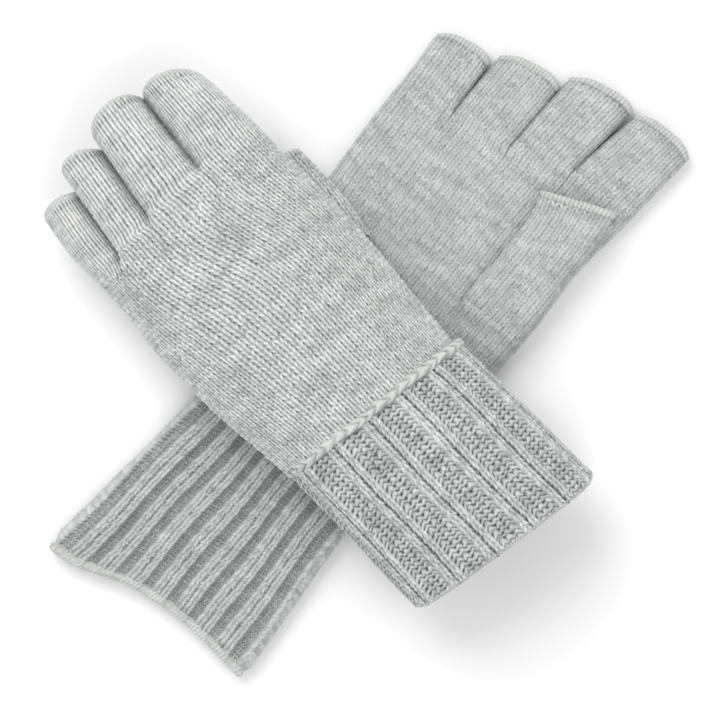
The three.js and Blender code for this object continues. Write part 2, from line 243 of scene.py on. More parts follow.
def read_table(rows, place):
    """The row of a table at a place, on smooth curves through its rows."""
    rows = np.array(rows, float)
    rows = rows[np.argsort(rows[:, 0])]
    places = rows[:, 0]
    place = np.clip(place, places[0], places[-1])
    i = min(int(np.searchsorted(places, place, side="right")) - 1, len(rows) - 2)
    before, a, b, after = rows[max(i - 1, 0)], rows[i], rows[i + 1], rows[min(i + 2, len(rows) - 1)]
    step = b[0] - a[0]
    t = (place - a[0]) / step
    start_slope = (b - before) / (b[0] - before[0]) * step
    end_slope = (after - a) / (after[0] - a[0]) * step
    return ((2 * t ** 3 - 3 * t ** 2 + 1) * a + (t ** 3 - 2 * t ** 2 + t) * start_slope
            + (3 * t ** 2 - 2 * t ** 3) * b + (t ** 3 - t ** 2) * end_slope)


def curled(glove, points, reference):
    """Strip points (s, along, z) in the glove's frame, with the strip's two sides curled down."""
    curl = glove["curl"]
    if curl is None:
        return points
    s, along, z = points[..., 0], points[..., 1], points[..., 2]
    amount = smoothstep(along, curl["begins"], curl["ends"])
    placed = points.copy()
    for side, name in ((-1, "left"), (1, "right")):
        start, radius = curl[f"{name}_from"], curl[name]
        beyond = np.maximum(0, (s - start) * side)
        bends = amount * beyond > 1e-6
        bend = radius / np.maximum(amount, 1e-6)
        angle = beyond / bend
        reach = bend + z - reference
        placed[..., 0] = np.where(bends, start + side * reach * np.sin(angle), placed[..., 0])
        placed[..., 2] = np.where(bends, reference + reach * np.cos(angle) - bend, placed[..., 2])
    return placed


def glove_placement(glove):
    """The turn and origin of a glove in the row frame, read from the CAD's joints."""
    if glove["palm_up"]:
        hinge = joints["right_index_fold"]["pos_m"]
        return 0.0, np.array(hinge[:2]) / MM - np.array(LAID_INDEX_HINGE)
    bend = joints["left_cuff_bend"]
    turn = math.atan2(-bend["axis"][1], -bend["axis"][0])
    step = np.array([math.sin(turn), -math.cos(turn)]) * WORN_WRIST_HINGE
    return turn, np.array(bend["pos_m"][:2]) / MM - step


def placed(glove, points):
    """Points of a glove's own frame, in metres in the row frame."""
    turn, origin = glove_placement(glove)
    cos, sin = math.cos(turn), math.sin(turn)
    x, y, z = points[..., 0], points[..., 1], points[..., 2]
    y = y - glove["seam_slope"] * x * (1 - smoothstep(np.abs(y), *SLOPE_FADE))
    return np.stack([cos * x - sin * y + origin[0], sin * x + cos * y + origin[1], z], axis=-1) * MM


# ---- outlines of the tubes

def corner_rise(s, left, right, wide, high):
    """How high a section with elliptic corners stands at s, as a share of half its thickness."""
    beyond = np.clip(1 - np.minimum(s - left, right - s) / max(wide, 0.05), 0, 1)
    return 1 - high + high * np.sqrt(1 - beyond ** 2)


def running(lengths):
    """Running totals, from nothing to the whole."""
    return np.concatenate([[0], np.cumsum(lengths)])


def reach_along(outline):
    """The length along an outline, seen end on, up to each of its points."""
    steps = np.hypot(np.diff(outline[:, 0]), np.diff(outline[:, 2]))
    return running(steps)


def across(left, right, count=161):
    """Places from left to right, closer together near both edges."""
    return left + (right - left) * (1 - np.cos(np.linspace(0, math.pi, count))) / 2


def section_rise(section, s, inset):
    """How far a section's surface stands above its middle at s, when it is drawn in by an inset."""
    left, right = section[LEFT_EDGE] + inset, section[RIGHT_EDGE] - inset
    wide = section[CORNER_WIDE] * (section[RIGHT_EDGE] - section[LEFT_EDGE]) / 2
    return (section[HALF] - inset) * corner_rise(s, left, right, wide, section[CORNER_HIGH])


def with_gusset(glove, along, points, side):
    """Raises one side of the hand into the thumb's gusset, up to the root of the thumb's stall."""
    is_palm = (side > 0) == glove["palm_up"]
    gusset = glove["thumb"]["gusset"]
    start, root = gusset[0][0], gusset[-1][0]
    if not is_palm or along < start or along > root + 2:
        return points
    s, z = points[:, 0], points[:, 2]
    section = read_table(gusset, along)
    inside = (s > section[LEFT_EDGE]) & (s < section[RIGHT_EDGE])
    rise = section_rise(section, np.clip(s, section[LEFT_EDGE], section[RIGHT_EDGE]), 0)
    top = np.where(inside, section[HEIGHT] + side * rise, -side * 1e3)
    fade = 1 - smoothstep(along, root - 2.5, root + 1)
    fade = fade * smoothstep(np.minimum(s - s[0], s[-1] - s), 0, 3)
    gap = side * (top - z)
    softness = 1.6
    lift = np.where(gap > -20, np.logaddexp(0, np.clip(gap / softness, -30, 30)) * softness, 0)
    return np.stack([s, points[:, 1], z + side * lift * fade], axis=-1)


def hand_outline(glove, along, side):
    """One side of the hand's outline at a place, from its left edge to its right edge: (s, along, z)."""
    section = read_table(glove["hand"], along)
    s = across(section[LEFT_EDGE] + PLAIN_INSET, section[RIGHT_EDGE] - PLAIN_INSET)
    z = section[HEIGHT] + side * section_rise(section, s, PLAIN_INSET)
    return np.stack([s, np.full_like(s, along), z], axis=-1), section[HEIGHT]


def snapped(glove, place):
    """The nearest whole course of the hand."""
    start = glove["hand"][0][0]
    return start + round((place - start) / glove["course"]) * glove["course"]


def crotch_at(glove, k):
    """Where the cleft at one of the five finger edges ends; the outer two edges take the next one's."""
    return snapped(glove, glove["crotches"][min(max(k - 1, 0), 2)])


def lane_edges(glove, lane, along, split_edges):
    """Left and right edge of one finger's lane of the fabric, on the hand and on the stall."""
    finger = list(glove["fingers"].values())[lane]
    edges = []
    for end in (0, 1):
        k = lane + end
        inset = PLAIN_INSET if end == 0 else -PLAIN_INSET
        crotch = crotch_at(glove, k)
        if k in (0, 4):
            section = read_table(glove["hand"], min(along, crotch))
            near = section[LEFT_EDGE if end == 0 else RIGHT_EDGE] + inset
        else:
            toward = smoothstep(min(along, crotch), split_place(glove), crotch)
            near = split_edges[k] + (glove["boundaries"][k] - split_edges[k]) * toward
        share = np.clip((along - crotch) / (finger["tip"] - crotch), 0, 1)
        tip_edge = finger["tip_edges"][end] + inset
        edges.append(near + (tip_edge - near) * share)
    return edges


def lane_outline(glove, lane, along, side, split_edges):
    """One side of a finger's lane at a place, where the hand's outline turns into the stall's.

    Gives its points, its middle's height, the lengths of its flat part and of its two inner sides, and how
    far those sides have formed.
    """
    finger = list(glove["fingers"].values())[lane]
    left, right = lane_edges(glove, lane, along, split_edges)
    s = across(left, right)
    crotches = [crotch_at(glove, lane), crotch_at(glove, lane + 1)]
    crotch = crotches[0] + (crotches[1] - crotches[0]) * (s - left) / (right - left)
    outward = {0: right - s, 3: s - left}.get(lane, 0 * s) / (right - left)
    formed = smoothstep(along, crotch - glove["groove"], crotch + OUTER_FADE * outward)
    root = max(crotches)
    share = np.clip((along - root) / (finger["tip"] - root), 0, 1)
    section = read_table(glove["hand"], min(along, root))
    half = finger["half"][0] + (finger["half"][1] - finger["half"][0]) * share - PLAIN_INSET
    corner = finger["corner"][0] + (finger["corner"][1] - finger["corner"][0]) * share
    stall_rise = half * corner_rise(s, left, right, corner * (right - left) / 2, 1)
    hand_left, hand_right = section[LEFT_EDGE] + PLAIN_INSET, section[RIGHT_EDGE] - PLAIN_INSET
    hand_s = s + {0: hand_left - left, 3: hand_right - right}.get(lane, 0) * outward
    hand_rise = section_rise(section, np.clip(hand_s, hand_left, hand_right), PLAIN_INSET)
    height = section[HEIGHT] - finger["droop"] * share ** 2
    z = height + side * (hand_rise + (stall_rise - hand_rise) * formed)
    middle, half_width = (left + right) / 2, (right - left) / 2
    shift = (finger["slant"] * share * (s - middle)
             + finger["dome"] * share * (1 - np.abs((s - middle) / half_width) ** 3)
             + finger["tilt"] * share ** 1.5 * (z - height))
    flat_length = float(np.sum(np.hypot(np.diff(s), np.diff(hand_rise))))
    whole_length = float(np.sum(np.hypot(np.diff(s), np.diff(z))))
    shares = np.array([formed[0] * (lane > 0), formed[-1] * (lane < 3)]) + 1e-4
    side_lengths = max(whole_length - flat_length, 0.01) * shares / shares.sum()
    return np.stack([s, along + shift, z], axis=-1), height, (flat_length, side_lengths), shares


def thumb_outline(glove, along, side):
    """One side of the thumb's stall at a place; its root is sunk a little into the gusset."""
    thumb = glove["thumb"]
    table = thumb["stall"]
    section = read_table(table, along)
    s = across(section[LEFT_EDGE] + PLAIN_INSET, section[RIGHT_EDGE] - PLAIN_INSET)
    sunk = 1 - smoothstep(along, table[0][0], table[0][0] + 5)
    z = section[HEIGHT] + side * (section_rise(section, s, PLAIN_INSET) - 0.9 * sunk)
    share = np.clip((along - table[0][0]) / (table[-1][0] - table[0][0]), 0, 1)
    middle = (section[LEFT_EDGE] + section[RIGHT_EDGE]) / 2
    shift = thumb["slant"] * share * (s - middle) + thumb["tilt"] * share * (z - section[HEIGHT])
    return np.stack([s, along + shift, z], axis=-1), section[HEIGHT]


# ---- fabric

def spread(outline, widths, lean=0.0):
    """Points along an outline, spaced by the widths of the mesh columns between them, crowded by a lean."""
    reach = reach_along(outline)
    target = running(widths)
    target /= target[-1]
    target = (target + lean * np.sin(math.pi * target)) * reach[-1]
    return np.stack([np.interp(target, reach, outline[:, axis]) for axis in range(3)], axis=-1)


def irregular(count, seed, amount=0.07):
    """Slightly uneven widths of a number of wales."""
    return 1 + amount * np.random.default_rng(seed).standard_normal(count).clip(-2, 2)


def ring_normals(ring, centre):
    """Outward directions round a closed ring, square to the glove's length."""
    tangent = np.gradient(ring, axis=0)
    tangent[0] = tangent[-1] = ring[1] - ring[-2]
    normal = np.cross(tangent, np.array([0.0, 1.0, 0.0]))
    normal /= np.maximum(np.linalg.norm(normal, axis=1, keepdims=True), 1e-9)
    return -normal if np.sum(normal * (ring - centre)) < 0 else normal


def normals_of(base, inside):
    """Outward unit normals of a grid of points, with a point inside the tube for each row, and whether the
    grid's own faces look outward."""
    along_columns = np.gradient(base, axis=1)
    along_rows = np.gradient(base, axis=0)
    normal = np.cross(along_columns, along_rows)
    normal /= np.maximum(np.linalg.norm(normal, axis=-1, keepdims=True), 1e-9)
    outward = np.sum(normal * (base - inside[:, None, :]))
    return normal * (1 if outward > 0 else -1), outward > 0


def at_rows(grid, rows):
    """Reads a grid at fractional rows, one for each new row and column."""
    low = np.clip(np.floor(rows).astype(int), 0, grid.shape[0] - 2)
    share = rows - low
    columns = np.arange(grid.shape[1])[None, :]
    share = share[..., None] if grid.ndim == 3 else share
    return grid[low, columns] * (1 - share) + grid[low + 1, columns] * share


def plain_stitch(u, v, centre_rise=0.5, drawn=0.0):
    """Relief of a plain knit stitch: two legs of a V, u across its wale and v along its course.

    The legs are parted by pits, a deep one at the side of each wale and a small one in the V; kept as relief,
    they also hold painted shade. Drawn stitches, on a stretched finger, have straight even legs.
    """
    swell = 0.5 + 0.3 * drawn + (0.5 - 0.3 * drawn) * np.sin(math.pi * v) ** 0.7
    leg = np.abs(np.sin(2 * math.pi * u)) ** 0.8 * swell
    beside = 0.42 * (1 - np.abs(np.cos(math.pi * v)) ** 3) * (1 - 0.4 * drawn)
    within = centre_rise * (1 - 0.75 * np.sin(math.pi * v) ** 4)
    return np.maximum(leg, np.where(np.abs(u - 0.5) < 0.25, within, beside))


def purl_stitch(u, v):
    """Relief of a purl stitch: a wavy strand across the wale, with a pit under its crest at the side."""
    strand = np.abs(np.cos(math.pi * (v - 0.2 * np.cos(2 * math.pi * u)))) ** 0.7
    beside = np.exp(-(np.minimum(u, 1 - u) / 0.16) ** 2)
    pit = beside * np.abs(np.sin(math.pi * (v - 0.2))) ** 2
    return (0.2 + 0.8 * strand) * (1 - 0.95 * pit)


def lumps(points, amount):
    """Slow unevenness of laid and worn fabric, the same for neighbouring pieces."""
    x, y, z = points[..., 0], points[..., 1], points[..., 2]
    waves = (np.sin(x / 6.1 + 0.7 * np.sin(y / 11.0)) * np.sin(y / 7.3 + 1.3)
             + 0.8 * np.sin((x + y) / 10.7 + 2.1) * np.sin((x - y) / 13.9 + 0.4)
             + 0.5 * np.sin(z / 4.0 + x / 8.3) * np.sin(y / 4.9 + x / 17.0))
    return amount * waves / 2


class Fabric:
    """A piece of fabric made of grids of points."""

    def __init__(self, glove):
        self.glove = glove
        self.grids = []

    def knit(self, base, inside, seed, slant=0.5, slack=0.25, stitch=plain_stitch, dip=None, shade=1.0,
             drawn=(0.0, 0.0), scatter=1.0):
        """Raises a base grid, one row for each course and WALE_STEPS columns for each wale, into stitches.

        slant is how far a stitch's legs rise, in courses; slack the fabric's slow unevenness; dip lowers or
        raises rows, and where it lowers them it darkens the relief kept for painted shade; shade scales that
        relief, as painted shade; drawn is how far the stitches are drawn out straight, at the first course
        and the last; scatter is how far single stitches stray.
        """
        courses, columns = base.shape[0] - 1, base.shape[1]
        steps = self.glove["course_steps"]
        normal, faces_out = normals_of(base, inside)
        random = np.random.default_rng(seed)
        rows = np.linspace(0, courses, courses * steps + 1)[:, None]
        drawn_rows = drawn[0] + (drawn[1] - drawn[0]) * rows / courses
        u = (np.arange(columns) / WALE_STEPS) % 1
        zigzag = slant * (np.abs(u - 0.5) * 4 - 1)
        sampled = rows + zigzag[None, :] * (1 - 0.6 * drawn_rows)
        points, outwards = at_rows(base, sampled), at_rows(normal, sampled)
        widths = np.linalg.norm(np.gradient(base, axis=1), axis=-1) * WALE_STEPS
        fullness = np.clip(at_rows(widths, sampled) / 2.4, 0, 1)
        leg = np.arange(columns) // (WALE_STEPS // 2)
        course = np.minimum(rows.astype(int), courses - 1)
        uneven = 1 + 0.12 * random.standard_normal((courses, 2 * (columns // WALE_STEPS) + 2)).clip(-1.5, 1)
        wale = np.arange(columns) // WALE_STEPS
        shifts = random.standard_normal((2, courses, wale[-1] + 1)).clip(-2, 2)[:, course, wale[None, :]]
        shifted_u = (u[None, :] + 0.035 * scatter * shifts[0]) % 1
        shifted_v = (rows + 0.07 * scatter * shifts[1]) % 1
        height = stitch(shifted_u, shifted_v, self.glove["centre"], drawn_rows)
        height = height * (1 + (uneven[course, leg[None, :]] - 1) * (1 - 0.6 * drawn_rows))
        fuzz = 0.035 * random.standard_normal(height.shape)
        offset = self.glove["relief"] * height * fullness + lumps(points, slack) + fuzz
        if dip is not None:
            dipped = dip(rows, courses)
            offset = offset + dipped
            # painted shade: where the fabric dips in, its kept relief, and so its colour, is darker
            height = np.clip(height + np.minimum(dipped, 0), 0, None)
        # painted shade given by the caller, in the clefts and in the cuff's hollows
        height = height * (at_rows(shade, sampled) if np.ndim(shade) == 2 else shade)
        self.add(points + outwards * offset[..., None], height, faces_out, columns / WALE_STEPS, courses)

    def add(self, points, height, faces_out, wales, courses):
        self.grids.append((points, np.broadcast_to(height, points.shape[:2]), faces_out, wales, courses))

    def build(self, name, material, nodes):
        """One mesh object of all the grids, with its bake and stitch coordinates and its painted-shade
        relief.
        """
        vertices, faces, relief, bake, stitches = [], [], [], [], []
        total = sum(grid[0].shape[1] for grid in self.grids)
        start, column = 0, 0
        for points, height, faces_out, wales, courses in self.grids:
            rows, columns = points.shape[:2]
            vertices.append(placed(self.glove, points).reshape(-1, 3))
            relief.append(height.reshape(-1))
            r, c = np.meshgrid(np.arange(rows), np.arange(columns), indexing="ij")
            bake_u = (column + 0.5 + c * (columns - 1.5) / max(columns - 1, 1)) / total
            bake.append(np.stack([bake_u, 0.002 + 0.996 * r / (rows - 1)], axis=-1).reshape(-1, 2))
            stitch_u = column / WALE_STEPS + c * wales / max(columns - 1, 1)
            stitches.append(np.stack([stitch_u, r * courses / (rows - 1)], axis=-1).reshape(-1, 2))
            corner = start + (r * columns + c)[:-1, :-1]
            quads = [corner, corner + 1, corner + columns + 1, corner + columns]
            quads = np.stack(quads, axis=-1).reshape(-1, 4)
            faces.append(quads if faces_out else quads[:, ::-1])
            start += rows * columns
            column += columns
        mesh = mesh_of_quads(name, np.concatenate(vertices), np.concatenate(faces))
        corners = np.concatenate(faces).reshape(-1)
        for layer_name, values in (("OFBake", bake), ("Stitches", stitches)):
            layer = mesh.uv_layers.new(name=layer_name)
            layer.uv.foreach_set("vector", np.concatenate(values)[corners].reshape(-1).astype(np.float32))
        # the relief attribute carries painted shade: the materials darken the colour where it is low
        attribute = mesh.attributes.new("relief", "FLOAT", "POINT")
        attribute.data.foreach_set("value", np.concatenate(relief).astype(np.float32))
        mesh.materials.append(material)
        piece = in_scene(name, mesh)
        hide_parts(*nodes)
        return piece


def in_scene(name, data):
    thing = bpy.data.objects.new(name, data)
    bpy.context.scene.collection.objects.link(thing)
    return thing


def mesh_of_quads(name, vertices, quads):
    mesh = bpy.data.meshes.new(name)
    mesh.vertices.add(len(vertices))
    mesh.vertices.foreach_set("co", vertices.reshape(-1).astype(np.float32))
    mesh.loops.add(quads.size)
    mesh.loops.foreach_set("vertex_index", quads.reshape(-1).astype(np.int32))
    mesh.polygons.add(len(quads))
    mesh.polygons.foreach_set("loop_start", np.arange(0, quads.size, 4, dtype=np.int32))
    mesh.polygons.foreach_set("use_smooth", np.ones(len(quads), bool))
    mesh.update(calc_edges=True)
    return mesh


# ---- the hand and its stalls

def split_place(glove):
    """Where the hand's one sheet of wales divides into the four fingers' lanes."""
    return snapped(glove, min(glove["crotches"]) - glove["groove"])


def lane_wales(glove):
    return [finger["wales"] for finger in glove["fingers"].values()]


def hand_widths(glove, side):
    """Widths of the wales across one side of the hand, so that whole wales fall between the crotches."""
    outline, _ = hand_outline(glove, min(glove["crotches"]), side)
    reach = reach_along(outline)
    inner = np.interp(glove["boundaries"][1:4], outline[:, 0], reach)
    lane_lengths = np.diff(np.concatenate([[0], inner, [reach[-1]]]))
    widths = np.repeat(lane_lengths / lane_wales(glove), lane_wales(glove))
    return widths * irregular(len(widths), 11 if side > 0 else 12)


def mesh_widths(wale_widths):
    return np.repeat(wale_widths / WALE_STEPS, WALE_STEPS)


def split_edges(glove, side):
    """The five places across the hand where the lanes meet, at the row where they divide."""
    outline, _ = hand_outline(glove, split_place(glove), side)
    widths = running(hand_widths(glove, side))
    counts = running(lane_wales(glove))
    reach = reach_along(outline)
    return np.interp(widths[counts] / widths[-1] * reach[-1], reach, outline[:, 0])


def lane_root(glove, lane):
    """The course where a finger's lane is closed on both sides, and its stall begins."""
    return max(crotch_at(glove, lane), crotch_at(glove, lane + 1))


def courses_between(glove, start, end):
    return start + glove["course"] * np.arange(round((end - start) / glove["course"]) + 1)


def lane_widths(glove, lane, side, flat_length, side_lengths):
    """Widths of a finger's mesh columns: its lane's own wales, and the extra wales of its two inner sides."""
    counts = lane_wales(glove)
    first = sum(counts[:lane])
    own = hand_widths(glove, side)[first:first + counts[lane]]
    own = own * flat_length / own.sum()
    extra = glove["side_wales"]
    left = np.full(0 if lane == 0 else extra, side_lengths[0] / extra)
    right = np.full(0 if lane == 3 else extra, side_lengths[1] / extra)
    return mesh_widths(np.concatenate([left, own, right]))


def lane_base(glove, lane, side, places):
    """The base grid of a finger's lane, with the extra wales of its inner sides and its clefts' painted
    shade.
    """
    edges = split_edges(glove, side)
    rows, inside, shades = [], [], []
    for place in places:
        outline, height, lengths, creased = lane_outline(glove, lane, place, side, edges)
        points = spread(outline, lane_widths(glove, lane, side, *lengths))
        from_left, from_right = points[:, 0] - points[0, 0], points[-1, 0] - points[:, 0]
        crease = glove["crease"]
        # painted shade in the clefts between the fingers, darkest at the lane's inner edges
        shades.append(1 - CREASE_SHADE * creased[0] * np.exp(-(from_left / crease) ** 2)
                      - CREASE_SHADE * creased[1] * np.exp(-(from_right / crease) ** 2))
        points = with_gusset(glove, place, points, side)
        rows.append(curled(glove, points, height))
        inside.append(curled(glove, np.array([points[:, 0].mean(), place, height]), height))
    return np.array(rows), np.array(inside), np.array(shades)


def plain_of(glove):
    return laid_knit if glove["palm_up"] else worn_knit


def hand_piece(glove, side, name, nodes):
    """One side of the hand: a single sheet up to the split, then the four lanes up to the stalls' roots."""
    fabric = Fabric(glove)
    widths = mesh_widths(hand_widths(glove, side))
    rows, inside = [], []
    for place in courses_between(glove, glove["hand"][0][0], split_place(glove)):
        outline, height = hand_outline(glove, place, side)
        lean = glove["lean"] * (1 - smoothstep(place, LEAN_FADE, split_place(glove)))
        points = with_gusset(glove, place, spread(outline, widths, lean), side)
        rows.append(curled(glove, points, height))
        inside.append([0, place, height])
    fabric.knit(np.array(rows), np.array(inside, float), 21 + side)
    for lane in range(4):
        places = courses_between(glove, split_place(glove), lane_root(glove, lane))
        base, inside, shade = lane_base(glove, lane, side, places)
        fabric.knit(base, inside, 31 + lane + side, shade=shade, drawn=(0.0, glove["drawn"]))
    return fabric.build(name, plain_of(glove), nodes)


def puckered(depth):
    """Draws the fabric in just before a hem; knit paints shade into the dip."""
    def dip(rows, courses):
        return -depth * np.exp(-((courses - rows - 0.5) / 0.6) ** 2)
    return dip


def rolled_edge(glove, grid, bumps, relief, courses, name, node, body):
    """A band of edge yarn over a grid of rings, raised into small bumps; relief is its painted shade."""
    centre = grid.mean(axis=(0, 1))
    normal, faces_out = normals_of(grid, np.repeat(centre[None, :], len(grid), axis=0))
    fabric = Fabric(glove)
    fabric.add(grid + normal * bumps[..., None], relief, faces_out, grid.shape[1] / WALE_STEPS, courses)
    piece = fabric.build(name, edge_yarn, [node])
    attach(piece, body)


def rolled_hem(glove, ring_at, prefix, proud):
    """A band that stands over a stall's end, rounds its rim and runs back inside, thinning out."""
    profile = [(-HEM, -0.2), (-HEM + 0.4, 0.15), (-HEM * 0.5, 0.32), (-0.45, 0.15), (-0.05, -0.25),
               (0.1, -0.8), (-0.3, -1.3), (-1.4, -1.55), (-3.5, -1.4), (-HEM_DEPTH, -0.5)]
    grid = []
    for forward, outward in profile:
        ring, normal = ring_at(forward)
        grid.append(ring + normal * (outward + proud))
    grid = np.array(grid)
    legs = np.abs(np.sin(2 * math.pi * np.arange(grid.shape[1]) / WALE_STEPS)) ** 0.75
    waves = np.tile(legs, (len(profile), 1))
    bumps = 0.22 * waves * np.linspace(1, 0.1, len(profile))[:, None]
    # painted shade, darker between the hem's bumps
    rolled_edge(glove, grid, bumps, 0.42 + 0.42 * waves, 4, f"{prefix}_hem_roll", f"{prefix}_hem", prefix)


def stall_ring(glove, outline_at, widths_by_side, tip):
    """A function that gives the closed ring of a stall near its tip, and the ring's outward directions."""
    def ring_at(forward):
        loop = []
        for side in (1, -1):
            outline, height = outline_at(tip + min(forward, 0), side)[:2]
            outline = outline + np.array([0, max(forward, 0), 0])
            points = curled(glove, spread(outline, widths_by_side[side]), height)
            loop.append(points if side > 0 else points[::-1])
        ring = np.concatenate([loop[0][:-1], loop[1]])
        return ring, ring_normals(ring, ring.mean(axis=0))
    return ring_at


def finger_stall(glove, lane, finger_name, finger):
    """One finger's stall, its two sides knitted on from the hand, and its rolled hem."""
    prefix = f"{glove['name']}_{finger_name}"
    root = lane_root(glove, lane)
    stall_end = finger["tip"] - HEM * 0.55
    places = np.linspace(root, stall_end, round((stall_end - root) / glove["course"]) + 1)
    fabric = Fabric(glove)
    for side in (1, -1):
        base, inside, shade = lane_base(glove, lane, side, places)
        fabric.knit(base, inside, 51 + lane * 2 + side, dip=puckered(glove["pucker"]), shade=shade,
                    drawn=(glove["drawn"], glove["drawn"]))
    piece = fabric.build(f"{prefix}_stall_knit", plain_of(glove), [f"{prefix}_stall"])
    bend(piece, glove, f"{glove['name']}_glove", prefix, f"{prefix}_fold", root, root + BEND)

    edges = {side: split_edges(glove, side) for side in (1, -1)}

    def outline_at(place, side):
        return lane_outline(glove, lane, place, side, edges[side])

    widths = {side: lane_widths(glove, lane, side, *outline_at(finger["tip"], side)[2]) for side in (1, -1)}
    ring_at = stall_ring(glove, outline_at, widths, finger["tip"])
    rolled_hem(glove, ring_at, prefix, 0.0)


def bend(piece, glove, hand_body, moving_body, joint, start, end):
    """Bakes a piece's placement into its mesh; it finds the hinge's ends but neither bends nor attaches it.
    """
    points = placed(glove, np.array([[0.0, start, 0.0], [0.0, end, 0.0]]))
    points[:, 2] = joints[joint]["pos_m"][2]
    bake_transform(piece)


def thumb_stall(glove):
    """The thumb's stall, which rises out of the gusset, and its rolled hem."""
    prefix = f"{glove['name']}_thumb"
    table = glove["thumb"]["stall"]
    root, tip = table[0][0], table[-1][0]
    end = tip - HEM * 0.55
    places = np.linspace(root, end, round((end - root) / glove["course"]) + 1)
    wales = glove["thumb"]["wales"]
    fabric = Fabric(glove)
    for side in (1, -1):
        widths = mesh_widths(irregular(wales, 41 + side))
        rows, inside = [], []
        for place in places:
            outline, height = thumb_outline(glove, place, side)
            rows.append(curled(glove, spread(outline, widths), height))
            inside.append(curled(glove, np.array([outline[:, 0].mean(), place, height]), height))
        fabric.knit(np.array(rows), np.array(inside), 71 + side, dip=puckered(glove["pucker"]))
    piece = fabric.build(f"{prefix}_stall_knit", plain_of(glove), [f"{prefix}_stall"])
    joint = f"{prefix}_fold" if glove["palm_up"] else f"{prefix}_swing"
    bend(piece, glove, f"{glove['name']}_glove", prefix, joint, root + 2, root + 2 + BEND)
    widths = {side: np.ones(wales * WALE_STEPS) for side in (1, -1)}
    ring_at = stall_ring(glove, lambda place, side: thumb_outline(glove, place, side), widths, tip)
    rolled_hem(glove, ring_at, prefix, 0.15)


# ---- cuffs and linking seams

def cuff_ring(glove, section, inset, wale_places):
    """Points round a cuff's section at places counted in wales, from the middle of its left edge."""
    s = across(section[LEFT_EDGE] + glove["side_inset"], section[RIGHT_EDGE] - glove["side_inset"])
    wide = section[CORNER_WIDE] * (section[RIGHT_EDGE] - section[LEFT_EDGE]) / 2
    rise = (section[HALF] - inset) * corner_rise(s, s[0], s[-1], wide, 1)
    front = glove["cuff_front_ribs"] * RIB_WALES
    turned = wale_places % CUFF_WALES
    top = np.stack([s, s * 0, section[HEIGHT] + rise], axis=-1)
    bottom = np.stack([s, s * 0, section[HEIGHT] - rise], axis=-1)[::-1]
    ring = np.empty((len(wale_places), 3))
    for half, low, high in ((top, 0, front), (bottom, front, CUFF_WALES)):
        reach = reach_along(half)
        chosen = (turned >= low) & (turned < high)
        share = (turned[chosen] - low) / (high - low) * reach[-1]
        for axis in range(3):
            ring[chosen, axis] = np.interp(share, reach, half[:, axis])
    return ring


def rib_places(glove):
    """Mesh columns round the cuff, in wales, with the knit wales a little wider or narrower than the purl."""
    knit = glove["rib"]["knit"]
    purl = (RIB_WALES - KNIT_WALES * knit) / PURL_WALES
    widths = np.tile([knit] * KNIT_WALES + [purl] * PURL_WALES, RIB_REPEATS)
    widths = widths * irregular(len(widths), 61, 0.04)
    places = running(mesh_widths(widths))
    return places * CUFF_WALES / places[-1] + glove["cuff_phase"]


def rib_rise(columns, rise):
    """How far the ribs stand out: two rounded knit wales, then a hollow of three purl wales."""
    wale = (np.arange(columns) / WALE_STEPS) % RIB_WALES
    raised = smoothstep(wale, -0.4, 0.2) * (1 - smoothstep(wale, KNIT_WALES - 0.2, KNIT_WALES + 0.4))
    raised = np.maximum(raised, smoothstep(wale, RIB_WALES - 0.4, RIB_WALES + 0.2))
    knit_crown = np.abs(np.sin(math.pi * wale))
    purl_crown = 0.35 * np.abs(np.sin(math.pi * (wale - KNIT_WALES) / PURL_WALES))
    return rise * raised + 0.25 * np.where(wale < KNIT_WALES, knit_crown, purl_crown)


def cuff_length(glove):
    return glove["cuff"][0][0] - glove["cuff"][-1][0]


def cuff_base(glove, share, places):
    """One ring of the cuff at a share of its length, following its uneven end, and its centre."""
    table = glove["cuff"]
    start = table[0][0] + CUFF_TUCK
    along = start + (table[-1][0] - start) * share
    section = read_table(table, along)
    wander = glove["wander"] * (np.sin(along / 8 + places / 6) + 0.6 * np.sin(along / 17 + places / 13 + 1))
    ring = cuff_ring(glove, section, glove["rib"]["rise"] + RIB_INSET, places + wander)
    ends = np.array([read_table(glove["cuff_end"], s)[1] for s in ring[:, 0]])
    ring[:, 1] = start + (ends - start) * share
    return ring, np.array([(section[LEFT_EDGE] + section[RIGHT_EDGE]) / 2, along, section[HEIGHT]])


def near_folds(glove, places):
    """How plain each mesh column is: fully at the cuff's two folds, and not at all away from them."""
    around = places % CUFF_WALES
    front = glove["cuff_front_ribs"] * RIB_WALES
    from_fold = np.minimum(np.minimum(around, CUFF_WALES - around), np.abs(around - front))
    return glove["fold_smoothing"] * np.exp(-(from_fold / 0.8) ** 2)


def rib_stitch_of(glove, wale, plain):
    """The relief of a ribbed cuff's stitches, for its mesh columns' places within a rib repeat."""
    def rib_stitch(u, v, *_):
        middle = np.exp(-((wale - 1) / 0.15) ** 2) * (0.4 + 0.6 * np.abs(np.cos(math.pi * v)))
        outer = 0.6 * (np.abs(wale - 1) > 0.8)
        knit = np.maximum(plain_stitch(u, v, 0.62), outer) * (1 - glove["rib"]["gap"] * middle)
        height = np.where(wale < KNIT_WALES, knit, 0.85 * purl_stitch(u, v))
        return height + (0.8 - height) * plain
    return rib_stitch


